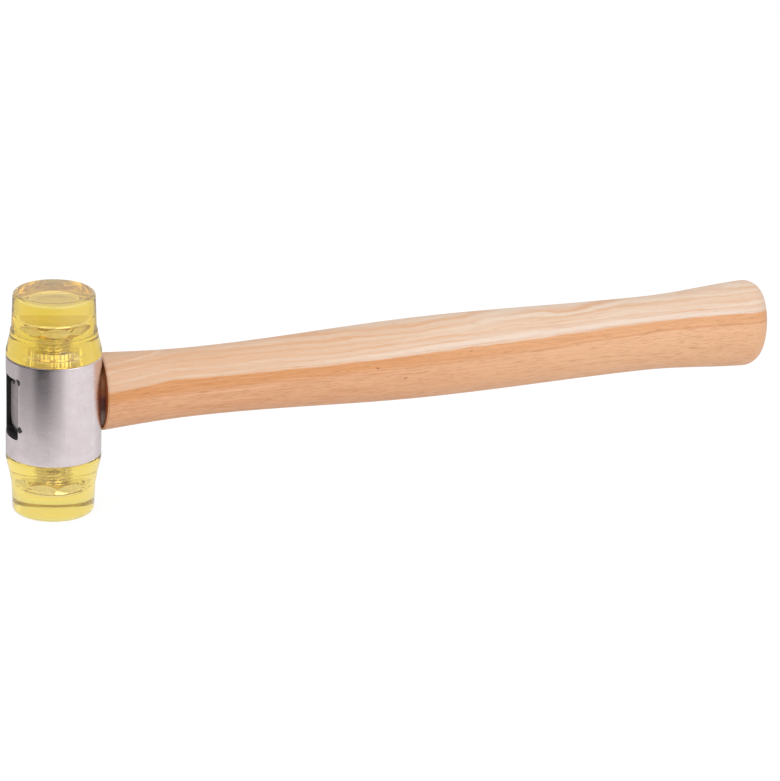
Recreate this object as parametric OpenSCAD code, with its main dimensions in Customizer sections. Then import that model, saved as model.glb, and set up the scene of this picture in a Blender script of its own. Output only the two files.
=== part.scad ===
// Soft face hammer: a steel head with two screw-in plastic faces on an ash handle.
// Millimetres. The head stands on Z and the handle lies along +X.
// The origin is the centre of the lower striking face.

/* [Head body] */
// Diameter of the steel body
body_d = 37; // [34:0.5:42]
// Length of the steel body along the head
body_len = 40.3; // [38:0.1:50]
// Chamfer round both ends of the steel body
body_chamfer = 0.5; // [0.2:0.1:1]
// Height of the eye, along the head
eye_h = 24.6; // [23:0.2:26]
// Width of the eye, across the head
eye_w = 15; // [14:0.2:18]
// Height of the eye's centre over the middle of the body
eye_rise = 0.8; // [0:0.1:1]
// Radius of the corners of the square pocket round the eye's far mouth
pocket_corner = 1.8; // [1:0.1:3]
// Distance from the head's axis to the floor of that pocket
pocket_x = 12.8; // [10:0.1:13]
// Depth of the chamfer at the mouth of each tapped hole
mouth_chamfer = 0.6; // [0.3:0.1:0.9]

/* [Plastic faces] */
// Length of the upper face from its seat to its striking surface
upper_face_len = 25.2; // [22:0.1:32]
// Length of the lower face from its seat to its striking surface
lower_face_len = 23.8; // [22:0.1:32]
// Height of the straight band at the foot
foot_band = 1.8; // [1:0.2:3]
// Radius that blends the foot band into the cone
foot_round = 4; // [2:0.5:6]
// Diameter at the top of the cone
collar_d = 33.7; // [33:0.1:34]
// Height of the collar's lower edge above the seat
collar_z = 8.8; // [8.4:0.2:9.6]
// Height of the collar
collar_h = 1.4; // [1:0.2:3]
// Diameter of the striking cylinder where it leaves the collar
neck_d = 32.8; // [32:0.1:32.9]
// Diameter of the striking cylinder at its far edge
strike_d = 31.8; // [30:0.1:32]
// Radius of the striking edge
strike_round = 1.8; // [1:0.2:3]

/* [Face bolts] */
// Thread diameter of a face bolt
bolt_d = 10; // [8:0.5:12]
// Thread pitch
bolt_pitch = 1.5; // [1.25:0.25:1.75]
// Depth of the thread
thread_depth = 0.9; // [0.5:0.1:1]
// Height of the bolt head's underside above the seat of the face
bolt_seat_z = 9.3; // [8:0.1:11]
// Width across the flats of the bolt head
bolt_flats = 16.6; // [16:0.1:19]
// Height of the bolt head
bolt_head_h = 5.4; // [5:0.2:7]
// Diameter of the circle where the chamfers of the bolt head begin
bolt_top_d = 16; // [15:0.1:17]
// Height that the chamfers leave at the corners of the bolt head
corner_h = 0.7; // [0.4:0.1:3]
// Diameter of the round flange on top of the bolt head
flange_d = 19; // [17:0.1:20]
// Thickness of that flange
flange_h = 0.9; // [0.5:0.1:1.4]
// Chamfer at the bolt's tip
bolt_tip = 1; // [0.6:0.1:1.2]
// Turn of the upper bolt's hexagon when its face is tight
upper_turn = -12; // [-30:1:30]
// Turn of the lower bolt's hexagon when its face is tight
lower_turn = 21; // [-30:1:30]

/* [Knurled collars] */
// Diameter of the knurled collar round a bolt
knurl_d = 14; // [13:0.1:15]
// Height of the knurled collar
knurl_h = 1.6; // [1:0.1:4]
// Number of notches round the collar
knurl_notches = 36; // [24:1:40]
// Width of a notch
notch_w = 0.6; // [0.3:0.1:0.8]
// Depth of a notch
notch_depth = 0.5; // [0.3:0.1:0.7]

/* [Lock rings] */
// Outer diameter of a lock ring
ring_d = 16; // [15.5:0.1:18]
// Height of a lock ring
ring_h = 0.5; // [0.4:0.1:1]
// Number of inner teeth of a lock ring
ring_teeth = 12; // [8:1:14]
// Width of a tooth
tooth_w = 1.6; // [1:0.1:1.8]
// Length of a tooth
tooth_len = 1; // [0.5:0.1:1.4]

/* [Handle] */
// Distance from the head's axis to the butt
handle_reach = 305.4; // [290:0.1:340]
// Height of the grip's axis over the middle of the head
grip_rise = 2.5; // [1:0.1:2.8]
// Height of the handle at the shoulder
shoulder_h = 31.2; // [30:0.1:33]
// Width of the handle at the shoulder
shoulder_w = 22.9; // [21:0.1:26]
// Distance of the neck from the head's axis
neck_x = 58.4; // [50:0.1:75]
// Height of the neck
neck_h = 27.8; // [24:0.1:30]
// Width of the neck
neck_w = 20.4; // [18:0.1:23]
// Distance of the belly from the head's axis
belly_x = 161.3; // [140:0.1:175]
// Height of the belly
belly_h = 33.4; // [30:0.1:36]
// Width of the belly
belly_w = 24.5; // [21:0.1:27]
// Distance of the waist from the head's axis
waist_x = 250.7; // [225:0.1:260]
// Height of the waist
waist_h = 31; // [28:0.1:33]
// Width of the waist
waist_w = 22.8; // [20:0.1:25]
// Height of the butt
butt_h = 36.5; // [33:0.1:39]
// Width of the butt
butt_w = 26.8; // [24:0.1:29]
// Radius of the butt's edge
butt_round = 8.6; // [4:0.1:10]
// Chamfer round the shoulder's face
shoulder_chamfer = 0.6; // [0.2:0.1:1]

/* [Tenon and wedges] */
// Distance from the head's axis to the recessed end of the tenon
tenon_reach = 15; // [13:0.5:16]
// Depth of the wooden wedge
wood_wedge_len = 24; // [16:1:28]
// Thickness of the wooden wedge at the tenon's end
wood_wedge_t = 3.2; // [2:0.2:4]
// Height of the wooden wedge
wood_wedge_h = 19; // [14:0.5:21]
// Depth of the steel wedge
steel_wedge_len = 14; // [10:1:18]
// Thickness of the steel wedge at the tenon's end
steel_wedge_t = 2.4; // [1.6:0.2:3]
// Width of the steel wedge
steel_wedge_w = 11; // [8:0.5:12]
// Thickness of both wedges at their tips
wedge_tip_t = 0.5; // [0.3:0.1:0.8]

/* [Clearances] */
// Gap between a bolt and the wall of its tapped hole
thread_clear = 0.05; // [0.02:0.01:0.1]
// Gap between the upper bolt's tip and the eye
bolt_end_gap = 1.35; // [0.5:0.05:2]
// Gap between the tenon and the eye
eye_clear = 0.05; // [0.02:0.01:0.2]
// Gap between the handle's shoulder and the steel body
shoulder_clear = 0.05; // [0.02:0.01:0.2]
// Gap round a lock ring in its recess, and between the ring and the bolt
ring_clear = 0.3; // [0.2:0.05:0.4]
// Play of a lock ring between the plastic and the steel
ring_play = 0.05; // [0.02:0.01:0.1]
// Gap between a wedge and its slot
wedge_clear = 0.02; // [0.01:0.01:0.05]
// Gap between a moulded-in bolt and the plastic
mould_clear = 0.02; // [0.01:0.01:0.05]

/* [Hidden] */

$fn = 96;
steel = "#b9b4b4";
zinc = "#cfcdc8";
acetate = "#ecd84e";
ash_wood = "#e3b98c";
beech_wood = "#c99a6a";

body_r = body_d / 2;
body_low = lower_face_len;
body_top = body_low + body_len;
body_mid = body_low + body_len / 2;
eye_mid = body_mid + eye_rise;
grip_mid = body_mid + grip_rise;
bolt_r = bolt_d / 2;
// Length of thread that stands out of the face, up to the gap before the eye
thread_out = (body_len - eye_h) / 2 - eye_rise - bolt_end_gap;
bolt_len = bolt_seat_z + thread_out;
bolt_top_z = bolt_seat_z + bolt_head_h;
thread_turns = floor((bolt_len - bolt_tip) / bolt_pitch);
recess_r = ring_d / 2 + ring_clear;
recess_h = ring_h + ring_play;
knurl_low = recess_h + mould_clear;
shoulder_x = body_r + shoulder_clear;
arc_steps = 6;
ring_sides = 40;
hex_sides = 6;
overlap = 1;

// Points on an arc about a centre, from one angle to another
function arc(centre, r, from, to) =
    [for (i = [0 : arc_steps]) centre + r * [cos(from + (to - from) * i / arc_steps),
                                             sin(from + (to - from) * i / arc_steps)]];

// Outline of a face of some length in its own half plane, with the seat at zero
cone_angle = atan2(body_r - collar_d / 2, collar_z - foot_band);
function face_outline(face_len) =
    let (blend = foot_round * tan(cone_angle / 2),
         side_angle = atan2((neck_d - strike_d) / 2, face_len - collar_z - collar_h),
         foot = [body_r - foot_round, foot_band - min(blend, foot_band / 2)],
         edge_z = face_len - strike_round,
         edge_r = strike_d / 2 - strike_round)
    concat([[0, 0], [body_r, 0]],
           arc(foot, foot_round, 0, cone_angle),
           [[collar_d / 2, collar_z], [collar_d / 2, collar_z + collar_h],
            [neck_d / 2, collar_z + collar_h]],
           arc([edge_r, edge_z], strike_round, side_angle, 90),
           [[0, face_len]]);

// Places a face, its bolt or its ring on the top or the foot of the steel body
module at_top() {
    translate([0, 0, body_top]) rotate(upper_turn) children();
}

module at_foot() {
    translate([0, 0, body_low]) mirror([0, 0, 1]) rotate(lower_turn) children();
}

// Oval section of the eye and tenon, lying in the plane across the handle
module oval(grow) {
    side_r = eye_w / 2 + grow;
    spread = eye_h / 2 - eye_w / 2;
    for (side = [-1, 1])
        translate([side * spread, 0]) circle(r = side_r);
    square([2 * spread, 2 * side_r], center = true);
}

// Prism of the oval along the handle's direction, between two distances from the head's axis
module oval_prism(grow, from_x, to_x) {
    translate([from_x, 0, eye_mid])
        rotate([0, 90, 0])
            linear_extrude(to_x - from_x) oval(grow);
}

// Square pocket with rounded corners, from the far side of the body in to its floor
module pocket() {
    side_y = eye_w / 2 - pocket_corner;
    side_z = eye_h / 2 - pocket_corner;
    translate([-body_d, 0, eye_mid])
        rotate([0, 90, 0])
            linear_extrude(body_d - pocket_x) {
                for (y = [-side_y, side_y])
                    for (z = [-side_z, side_z])
                        translate([z, y]) circle(r = pocket_corner);
                square([eye_h, 2 * side_y], center = true);
                square([2 * side_z, eye_w], center = true);
            }
}

// A tapered plate driven into the tenon's end, pointing along +X
// As a slot it is wider by the gap all round and runs out past the end
module wedge(depth, thick, wide, gap = 0, run_out = 0) {
    taper = (thick - wedge_tip_t) / 2 / depth;
    mouth = thick / 2 + taper * run_out + gap;
    tip = wedge_tip_t / 2 - taper * gap + gap;
    translate([-tenon_reach, 0, eye_mid])
        rotate([90, 0, 0])
            linear_extrude(wide + 2 * gap, center = true)
                polygon([[-run_out, -mouth], [depth + gap, -tip], [depth + gap, tip], [-run_out, mouth]]);
}

// Turns a wedge on edge, about the handle's direction
module on_edge() {
    translate([0, 0, eye_mid]) rotate([90, 0, 0]) translate([0, 0, -eye_mid]) children();
}

module wood_wedge_slot() {
    on_edge() wedge(wood_wedge_len, wood_wedge_t, wood_wedge_h, wedge_clear, overlap);
}

module steel_wedge_slot() {
    wedge(steel_wedge_len, steel_wedge_t, steel_wedge_w, wedge_clear, overlap);
}

// Eases from one value to another with level ends, as t goes from 0 to 1
function ease(from, to, t) = from + (to - from) * (1 - cos(180 * t)) / 2;

// Eases with a level far end only
function settle(from, to, t) = from + (to - from) * sin(90 * t);

// A size of the grip at a distance from the head's axis, through its five sections
function along(x, shoulder, neck, belly, waist, butt) =
    x < neck_x ? settle(shoulder, neck, (x - shoulder_x) / (neck_x - shoulder_x))
    : x < belly_x ? ease(neck, belly, (x - neck_x) / (belly_x - neck_x))
    : x < waist_x ? ease(belly, waist, (x - belly_x) / (waist_x - belly_x))
    : ease(waist, butt, (x - waist_x) / (handle_reach - waist_x));

function grip_h(x) = along(x, shoulder_h, neck_h, belly_h, waist_h, butt_h);
function grip_w(x) = along(x, shoulder_w, neck_w, belly_w, waist_w, butt_w);

// Each ring of the grip: its distance from the head's axis, and how far it is drawn in
grip_steps = 30;
grip_start = shoulder_x + shoulder_chamfer;
grip_end = handle_reach - butt_round;
grip_rings = concat(
    [[shoulder_x, shoulder_chamfer]],
    [for (i = [0 : grip_steps]) [grip_start + (grip_end - grip_start) * i / grip_steps, 0]],
    [for (i = [1 : arc_steps])
        [grip_end + butt_round * sin(90 * i / arc_steps), butt_round * (1 - cos(90 * i / arc_steps))]]);

// The grip as oval rings joined side by side, closed by a fan at each end
module grip() {
    ring_count = len(grip_rings);
    last = ring_count * ring_sides;
    points = concat(
        [for (ring = grip_rings) for (k = [0 : ring_sides - 1])
            [ring[0],
             (grip_w(ring[0]) / 2 - ring[1]) * cos(360 * k / ring_sides),
             grip_mid + (grip_h(ring[0]) / 2 - ring[1]) * sin(360 * k / ring_sides)]],
        [[shoulder_x, 0, grip_mid], [handle_reach, 0, grip_mid]]);
    sides = [for (i = [0 : ring_count - 2]) for (k = [0 : ring_sides - 1])
        let (next = (k + 1) % ring_sides, a = i * ring_sides, b = a + ring_sides)
        each [[a + k, b + k, b + next], [a + k, b + next, a + next]]];
    shoulder_fan = [for (k = [0 : ring_sides - 1]) [last, k, (k + 1) % ring_sides]];
    butt_fan = [for (k = [0 : ring_sides - 1])
        [last + 1, last - ring_sides + (k + 1) % ring_sides, last - ring_sides + k]];
    polyhedron(points, concat(sides, shoulder_fan, butt_fan));
}

// Steel body with its eye, its pocket and its two tapped holes
module head_body() {
    hole_r = bolt_r + thread_clear;
    color(steel) difference() {
        translate([0, 0, body_low])
            rotate_extrude()
                polygon([[0, 0], [body_r - body_chamfer, 0], [body_r, body_chamfer],
                         [body_r, body_len - body_chamfer], [body_r - body_chamfer, body_len],
                         [0, body_len]]);
        oval_prism(0, -body_d, body_d);
        pocket();
        translate([0, 0, body_low - overlap]) cylinder(r = hole_r, h = body_len + 2 * overlap);
        for (end = [0, 1])
            translate([0, 0, end == 0 ? body_low : body_top])
                mirror([0, 0, end])
                    translate([0, 0, -overlap])
                        cylinder(r1 = hole_r + mouth_chamfer + overlap, r2 = hole_r,
                                 h = mouth_chamfer + overlap);
    }
}

// Ash handle: oval grip, shoulder, and a tenon slotted for both wedges
module handle() {
    color(ash_wood) difference() {
        union() {
            grip();
            oval_prism(-eye_clear, -tenon_reach, shoulder_x + overlap);
        }
        wood_wedge_slot();
        steel_wedge_slot();
    }
}

// Hardwood wedge along the tenon's height, split by the steel wedge
module wood_wedge() {
    color(beech_wood) difference() {
        on_edge() wedge(wood_wedge_len, wood_wedge_t, wood_wedge_h);
        steel_wedge_slot();
    }
}

module steel_wedge() {
    color(zinc) wedge(steel_wedge_len, steel_wedge_t, steel_wedge_w);
}

// Hexagon head with the corners of both ends turned off and a round flange, above the seat of the face
module bolt_head(gap) {
    corner_r = (bolt_flats / 2 + gap) / cos(180 / hex_sides);
    flat_r = bolt_top_d / 2 + gap;
    foot_z = bolt_seat_z - gap;
    hex_z = bolt_top_z - flange_h + gap;
    top_z = bolt_top_z + gap;
    drop = (bolt_head_h - flange_h - corner_h) / 2;
    intersection() {
        translate([0, 0, foot_z]) cylinder(r = corner_r, h = top_z - foot_z, $fn = hex_sides);
        rotate_extrude()
            polygon([[0, foot_z], [flat_r, foot_z], [corner_r, foot_z + drop], [corner_r, hex_z - drop],
                     [flat_r, hex_z], [flat_r, top_z], [0, top_z]]);
    }
    translate([0, 0, bolt_top_z - flange_h - gap])
        cylinder(r = flange_d / 2 + gap, h = flange_h + 2 * gap);
}

// Knurled collar that keeps the plastic from turning on the bolt
module knurl() {
    translate([0, 0, knurl_low])
        linear_extrude(knurl_h)
            difference() {
                circle(d = knurl_d);
                for (i = [0 : knurl_notches - 1])
                    rotate(360 * i / knurl_notches)
                        translate([knurl_d / 2 - notch_depth, -notch_w / 2])
                            square([notch_depth + overlap, notch_w]);
            }
}

// Hexagon bolt with its tip down: its thread is drawn as one groove for each turn
module bolt() {
    root_r = bolt_r - thread_depth;
    thread_start = bolt_seat_z - thread_turns * bolt_pitch;
    grooves = [for (i = [0 : thread_turns - 1]) let (z = thread_start + i * bolt_pitch)
        each [[root_r, z + bolt_pitch / 2], [bolt_r, z + bolt_pitch]]];
    rotate_extrude()
        polygon(concat([[0, -thread_out], [bolt_r - bolt_tip, -thread_out], [bolt_r, thread_start]],
                       grooves, [[0, bolt_seat_z]]));
    bolt_head(0);
    knurl();
}

// Space that a bolt takes up in its face
module bolt_space() {
    translate([0, 0, -overlap]) cylinder(r = bolt_r + mould_clear, h = bolt_seat_z + 2 * overlap);
    bolt_head(mould_clear);
    cylinder(r = knurl_d / 2 + mould_clear, h = knurl_low + knurl_h + mould_clear);
}

// Plastic face moulded round its bolt, with a recess for the lock ring under it
module face(face_len) {
    difference() {
        rotate_extrude() polygon(face_outline(face_len));
        bolt_space();
        translate([0, 0, -overlap]) cylinder(r = recess_r, h = recess_h + overlap);
    }
}

// Lock ring with inner teeth, lying on the steel body
module lock_ring() {
    tooth_r = bolt_r + ring_clear;
    rim_r = tooth_r + tooth_len;
    linear_extrude(ring_h) {
        difference() {
            circle(d = ring_d);
            circle(r = rim_r);
        }
        for (i = [0 : ring_teeth - 1])
            rotate(360 * i / ring_teeth)
                translate([tooth_r, -tooth_w / 2])
                    square([(rim_r + ring_d / 2) / 2 - tooth_r, tooth_w]);
    }
}

module upper_face() {
    color(acetate) at_top() face(upper_face_len);
}

module upper_bolt() {
    color(zinc) at_top() bolt();
}

module upper_lock_ring() {
    color(zinc) at_top() lock_ring();
}

module lower_face() {
    color(acetate) at_foot() face(lower_face_len);
}

module lower_bolt() {
    color(zinc) at_foot() bolt();
}

module lower_lock_ring() {
    color(zinc) at_foot() lock_ring();
}

head_body();
handle();
wood_wedge();
steel_wedge();
upper_face();
upper_bolt();
upper_lock_ring();
lower_face();
lower_bolt();
lower_lock_ring();
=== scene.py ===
"""Soft face hammer: a plated steel head with two screw-in plastic faces on an ash handle.

The CAD nodes give the frame, and the finer surfaces built here stand for them.
Sizes are in millimetres in the shapes and in metres in the scene.
"""
import math

import bmesh
import bpy
import numpy as np
from mathutils import Matrix, Vector


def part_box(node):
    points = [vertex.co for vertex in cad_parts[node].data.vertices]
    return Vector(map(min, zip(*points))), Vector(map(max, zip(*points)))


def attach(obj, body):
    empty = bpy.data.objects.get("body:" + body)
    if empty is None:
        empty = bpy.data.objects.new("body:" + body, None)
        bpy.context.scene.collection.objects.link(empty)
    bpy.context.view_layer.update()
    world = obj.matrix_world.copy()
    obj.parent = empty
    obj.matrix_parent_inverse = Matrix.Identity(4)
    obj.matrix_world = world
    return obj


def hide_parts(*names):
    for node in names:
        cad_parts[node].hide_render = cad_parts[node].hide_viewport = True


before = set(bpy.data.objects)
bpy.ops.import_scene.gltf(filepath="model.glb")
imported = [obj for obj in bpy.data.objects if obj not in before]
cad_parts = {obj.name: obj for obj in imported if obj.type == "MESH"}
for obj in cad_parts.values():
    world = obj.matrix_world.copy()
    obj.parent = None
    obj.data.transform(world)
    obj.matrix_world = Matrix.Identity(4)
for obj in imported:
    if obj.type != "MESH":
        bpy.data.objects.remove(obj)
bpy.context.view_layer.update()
MM = 0.001


# Sizes, in millimetres

def box_mm(node):
    """Lowest and highest corner of a CAD node, in millimetres."""
    low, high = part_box(node)
    return np.array(low) / MM, np.array(high) / MM


body_box = box_mm("head_body")
handle_box = box_mm("handle")
BODY_R = (body_box[1][1] - body_box[0][1]) / 2
BODY_LOW = body_box[0][2]
BODY_TOP = body_box[1][2]
MID_Z = (BODY_LOW + BODY_TOP) / 2
BODY_ROUND = 0.5
EYE_H = 24.6
EYE_W = 15.0
EYE_LIFT = 0.8
EYE_Z = MID_Z + EYE_LIFT
EYE_ROUND = 0.45
POCKET_ROUND = 0.4
POCKET_CORNER = 1.8
POCKET_X = -12.8
HOLE_R = 5.05
HOLE_DEPTH = 6.8
MOUTH = 0.6

FOOT_BAND = 1.8
FOOT_ROUND = 4.0
FOOT_EDGE = 0.3
SEAT_GAP = 0.03
COLLAR_R = 16.85
COLLAR_Z = 8.8
COLLAR_H = 1.4
COLLAR_ROUND = 0.35
COLLAR_FILLET = 0.1
NECK_R = 16.4
STRIKE_R = 15.9
STRIKE_ROUND = 1.8
RECESS_R = 8.3
RECESS_H = 0.55

BOLT_R = 5.0
BOLT_PITCH = 1.5
THREAD_DEPTH = 0.9
THREAD_OUT = 5.7
BOLT_SEAT = 9.3
BOLT_TOP = 14.7
BOLT_FLATS = 16.6
BOLT_TOP_R = 8.0
CORNER_H = 0.7
FLANGE_R = 9.5
FLANGE_H = 0.9
FLANGE_ROUND = 0.7
BOLT_TIP = 1.0
KNURL_R = 7.0
KNURL_LOW = 0.57
KNURL_TOP = 2.17
KNURL_NOTCHES = 36
NOTCH_DEPTH = 0.5

BUTT_X = handle_box[1][0]
GRIP_LIFT = 2.5
GRIP_Z = MID_Z + GRIP_LIFT
SHOULDER_X = 18.55
SHOULDER_CHAMFER = 0.6
BUTT_ROUND = 8.6
TENON_END = -14.9
TENON_GAP = 0.05
# Distance from the head's axis, height and width of the grip's five sections
SECTIONS = np.array([(SHOULDER_X, 31.2, 22.9), (58.4, 27.8, 20.4), (161.3, 33.4, 24.5),
                     (250.7, 31.0, 22.8), (BUTT_X, 36.5, 26.8)])

# Rows, columns and steps of the grids
BODY_ARC = 96
BODY_SIDE = 36
SKIN_ROWS = 25
FOLD_ROWS = 6
WALL_ROWS = 12
ROUND_STEPS = 8
FOOT_EDGE_STEPS = 4
FOOT_STEPS = 10
COLLAR_STEPS = 6
STRIKE_STEPS = 12
BELOW_ROWS = 70
ABOVE_ROWS = 60
FLANGE_STEPS = 5
GRIP_COLUMNS = 144
BUTT_ROWS = 11
GRIP_ROWS = 180
TENON_ROWS = 8


# Surfaces

# Points closer than this, in metres, are one point
MERGE = 2e-7
# Smallest number that anything is divided by
TINY = 1e-9


def quads_of(rows, columns, first):
    """Quads between neighbouring rows of a grid whose rows are closed loops, from a first index."""
    i, j = np.meshgrid(np.arange(rows - 1), np.arange(columns), indexing="ij")
    near = first + i * columns + j
    far = first + i * columns + (j + 1) % columns
    return np.stack([near, far, far + columns, near + columns], axis=-1).reshape(-1, 4)


def solid(name, grids, materials, zones=None, sharp=30.0):
    """One closed mesh from grids of rows of points in millimetres, each row a closed loop.

    Doubles are merged, so a row drawn in to one point is a pole and grids join along equal edges.
    zones gives, for each grid, the material number of each strip between two rows. Edges that bend by
    more than sharp, in degrees, are shaded sharp.
    """
    points, quads, numbers, first = [], [], [], 0
    for k, grid in enumerate(grids):
        rows, columns = grid.shape[:2]
        points.append(grid.reshape(-1, 3) * MM)
        quads.append(quads_of(rows, columns, first))
        strip = np.zeros(rows - 1, int) if zones is None else np.asarray(zones[k])
        numbers.append(np.repeat(strip, columns))
        first += rows * columns
    mesh = bpy.data.meshes.new(name)
    mesh.from_pydata(np.concatenate(points).tolist(), [], np.concatenate(quads).tolist())
    for material in materials:
        mesh.materials.append(material)
    mesh.polygons.foreach_set("material_index", np.concatenate(numbers).astype(np.int32))
    shape = bmesh.new()
    shape.from_mesh(mesh)
    bmesh.ops.remove_doubles(shape, verts=shape.verts[:], dist=MERGE)
    bmesh.ops.recalc_face_normals(shape, faces=shape.faces[:])
    shape.to_mesh(mesh)
    shape.free()
    mesh.shade_smooth()
    mesh.set_sharp_from_angle(angle=math.radians(sharp))
    piece = bpy.data.objects.new(name, mesh)
    bpy.context.scene.collection.objects.link(piece)
    return piece


def arc(centre, radius, start, end, steps):
    """Points (r, z) on a circle about a centre, from one angle to another in degrees."""
    t = np.radians(np.linspace(start, end, steps + 1))
    return np.stack([centre[0] + radius * np.cos(t), centre[1] + radius * np.sin(t)], axis=-1)


def revolve(profile, sides=2 * BODY_ARC, start=-90.0):
    """A profile of (r, z) turned about Z: x = r cos a, y = r sin a, one row for each point."""
    a = np.radians(start + 360.0 * np.arange(sides) / sides)
    r, z = profile[:, 0, None], profile[:, 1, None]
    return np.stack(np.broadcast_arrays(r * np.cos(a), r * np.sin(a), z), axis=-1)


def oval_reach(turn, grow=0.0):
    """Distance from the eye's centre to its oval outline, along directions in the YZ plane.

    The outline is two half circles joined by straight sides: a direction meets a side at half the
    width over its cosine, or else the circle about the end of the straight part.
    """
    half = EYE_W / 2 + grow
    spread = (EYE_H - EYE_W) / 2
    c, s = np.abs(np.cos(turn)), np.abs(np.sin(turn))
    side = half / np.maximum(c, TINY)
    cap = spread * s + np.sqrt(np.maximum(half ** 2 - (spread * c) ** 2, 0))
    return np.where(side * s <= spread, side, cap)


def pocket_reach(turn, grow=0.0):
    """Distance from the eye's centre to the outline of its far pocket, a rectangle with round corners.

    A direction meets a side, or the top or bottom, where it isn't in the corner's square; there it
    meets the circle about the corner's centre.
    """
    wide, high, corner = EYE_W / 2 + grow, EYE_H / 2 + grow, POCKET_CORNER + grow
    c, s = np.maximum(np.abs(np.cos(turn)), TINY), np.maximum(np.abs(np.sin(turn)), TINY)
    mid_y, mid_z = wide - corner, high - corner
    off = np.maximum(corner ** 2 - (mid_y * s - mid_z * c) ** 2, 0)
    bend = mid_y * c + mid_z * s + np.sqrt(off)
    flat = np.where(high / s * c <= mid_y, high / s, bend)
    return np.where(wide / c * s <= mid_z, wide / c, flat)


def blend_profile(x, column):
    """A size of the grip at distances x: a quarter sine to the neck, then half cosines."""
    at, size = SECTIONS[:, 0], SECTIONS[:, column]
    k = np.clip(np.searchsorted(at, x, side="right") - 1, 0, len(at) - 2)
    t = np.clip((x - at[k]) / (at[k + 1] - at[k]), 0, 1)
    share = np.where(k == 0, np.sin(t * np.pi / 2), (1 - np.cos(t * np.pi)) / 2)
    return size[k] + (size[k + 1] - size[k]) * share


# How far the directions from the eye's centre to the points of the edge are stretched sideways
FAN = 1.2
# Power that draws the rows of the skin closer together near the rim of an opening
CROWD = 1.5
# Angle in degrees of the first row of a rim's rounding
FOLD_START = 15


def half_body(edge_a, edge_z, reach_of, rim_round):
    """Half of the steel body's skin, from its edges in to the rim of an opening, and round the rim.

    A row's share of the way from the opening's outline to the edge sets its angle and height on the
    cylinder; the last rows turn through a quarter circle into the opening.
    """
    turn = np.arctan2(edge_z - EYE_Z, BODY_R * np.sin(edge_a / 2) * FAN)
    rim = reach_of(turn, rim_round)
    rim_a = np.arcsin(rim * np.cos(turn) / BODY_R)
    rim_z = EYE_Z + rim * np.sin(turn)
    share = np.linspace(1, 0, SKIN_ROWS)[:, None] ** CROWD
    a = rim_a + (edge_a - rim_a) * share
    z = rim_z + (edge_z - rim_z) * share
    skin = np.stack([BODY_R * np.cos(a), BODY_R * np.sin(a), z], axis=-1)
    fold = np.radians(np.linspace(FOLD_START, 90, FOLD_ROWS))[:, None]
    reach = reach_of(turn, 0) + rim_round * (1 - np.sin(fold))
    y, z = reach * np.cos(turn), EYE_Z + reach * np.sin(turn)
    x = np.sqrt(BODY_R ** 2 - y ** 2) - rim_round * (1 - np.cos(fold))
    return np.concatenate([skin, np.stack([x, y, z], axis=-1)])


# Rows of the eye's wall, next to the handle, without the black painted shade, and rows of the pocket's rim
# with it
BARE_ROWS = 4
SHADED_RIM_ROWS = 2


def body_grids():
    """The steel body: two half cylinders round the eye's two mouths, its wall and pocket, and the ends.

    Each row is a loop. The half on the handle's side ends at the oval eye, the far half at the square
    pocket; the rows between run along X, down the pocket's wall and across its floor. The ends are
    turned profiles with a rounded rim and a blind tapped hole. Zone 1 is the wall of the eye and its
    pocket, black as painted shade, and zone 2 the faced ends.
    """
    low, top = BODY_LOW + BODY_ROUND, BODY_TOP - BODY_ROUND
    across = np.linspace(-np.pi / 2, np.pi / 2, BODY_ARC + 1)
    rise = np.linspace(low, top, BODY_SIDE + 1)
    edge_a = np.concatenate([across[:-1], np.full(BODY_SIDE, np.pi / 2),
                             across[:0:-1], np.full(BODY_SIDE, -np.pi / 2)])
    edge_z = np.concatenate([np.full(BODY_ARC, low), rise[:-1], np.full(BODY_ARC, top), rise[:0:-1]])
    near = half_body(edge_a, edge_z, oval_reach, EYE_ROUND)
    far = half_body(edge_a, edge_z, pocket_reach, POCKET_ROUND)[::-1] * np.array([-1, 1, 1])
    share = np.linspace(0, 1, WALL_ROWS + 1)[1:, None, None]
    floor = near[-1] * [0, 1, 1] + [POCKET_X, 0, 0]
    wall = near[-1] + (floor - near[-1]) * share
    step = far[:1] * [0, 1, 1] + [POCKET_X, 0, 0]
    outer = np.concatenate([near, wall, step, far])
    strips = np.zeros(len(outer) - 1, int)
    pocket_rim = len(near) + len(wall) + len(step)
    # Zone 1, the eye's wall and the pocket's rim, is black as painted shade
    strips[len(near) + BARE_ROWS:pocket_rim + SHADED_RIM_ROWS] = 1
    end = np.concatenate([
        arc((BODY_R - BODY_ROUND, BODY_ROUND), BODY_ROUND, 0, -90, ROUND_STEPS),
        [(HOLE_R + MOUTH, 0), (HOLE_R, MOUTH), (HOLE_R, HOLE_DEPTH), (0, HOLE_DEPTH)]])
    ends = [revolve(end * [1, side] + [0, at]) for side, at in ((1, BODY_LOW), (-1, BODY_TOP))]
    ring = np.zeros(len(end) - 1, int)
    ring[ROUND_STEPS:] = 2
    return [outer] + ends, [strips, ring, ring]


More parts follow.
